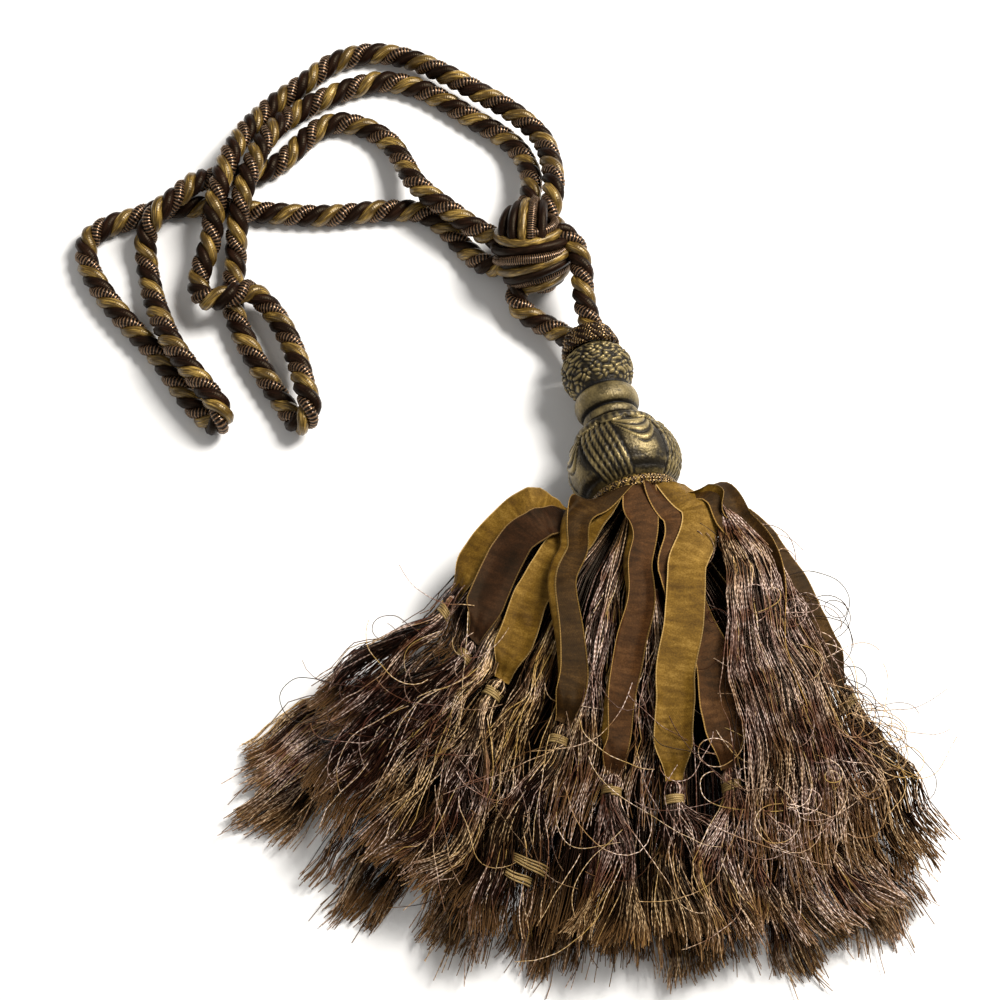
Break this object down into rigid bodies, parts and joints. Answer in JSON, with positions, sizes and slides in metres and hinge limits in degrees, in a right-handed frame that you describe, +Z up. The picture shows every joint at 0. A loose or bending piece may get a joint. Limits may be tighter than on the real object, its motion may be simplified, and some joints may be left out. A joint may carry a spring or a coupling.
{
  "type": "rope curtain tieback",
  "caption": "Curtain tieback of twisted rope folded into long loops, gathered in a wound ball knot above a carved tassel head with a full skirt of ribbons, small tassels and loose threads.",
  "frame": {"origin": "on the table, under the middle of the bounding box", "axes": "+Z up; +Y from the fringe towards the rope loops; +X to the right seen from the fringe"},
  "size_m": [0.419, 0.5042, 0.0538],
  "materials": {
    "rope": "satin rope of dark brown, old gold and wrapped gimp strands",
    "head": "carved, antique bronze gold paint rubbed on the high spots",
    "cord": "fine wrapped gimp cord",
    "ribbon_gold": "sheer satin ribbon, old gold",
    "ribbon_brown": "sheer satin ribbon, dark brown",
    "ribbon_bronze": "sheer satin ribbon, bronze",
    "thread": "crimped glossy threads, brown with gold and mauve"
  },
  "bodies": {
    "root": {"rope_loop_upper": "rope", "rope_loop_lower": "rope", "rope_neck_right": "rope", "rope_neck_left": "rope", "wound_knot": "rope", "tassel_head": "head", "top_cord": "cord", "base_cord": "cord", "thread_skirt": "thread", "ribbon_upper_01": "ribbon_gold", "tassel_upper_01": "thread", "ribbon_upper_02": "ribbon_brown", "tassel_upper_02": "thread", "ribbon_upper_03": "ribbon_gold", "tassel_upper_03": "thread", "ribbon_upper_04": "ribbon_brown", "tassel_upper_04": "thread", "ribbon_upper_05": "ribbon_brown", "tassel_upper_05": "thread", "ribbon_upper_06": "ribbon_gold", "tassel_upper_06": "thread", "ribbon_upper_07": "ribbon_brown", "tassel_upper_07": "thread", "ribbon_upper_08": "ribbon_bronze", "tassel_upper_08": "thread", "ribbon_upper_09": "ribbon_bronze", "tassel_upper_09": "thread", "ribbon_lower_01": "ribbon_brown", "tassel_lower_01": "thread", "ribbon_lower_02": "ribbon_gold", "tassel_lower_02": "thread", "ribbon_lower_03": "ribbon_bronze", "tassel_lower_03": "thread", "ribbon_lower_04": "ribbon_brown", "tassel_lower_04": "thread", "ribbon_lower_05": "ribbon_gold", "tassel_lower_05": "thread", "ribbon_lower_06": "ribbon_brown", "tassel_lower_06": "thread", "ribbon_lower_07": "ribbon_bronze", "tassel_lower_07": "thread", "ribbon_lower_08": "ribbon_brown", "tassel_lower_08": "thread", "ribbon_lower_09": "ribbon_gold", "tassel_lower_09": "thread"}
  },
  "joints": []
}
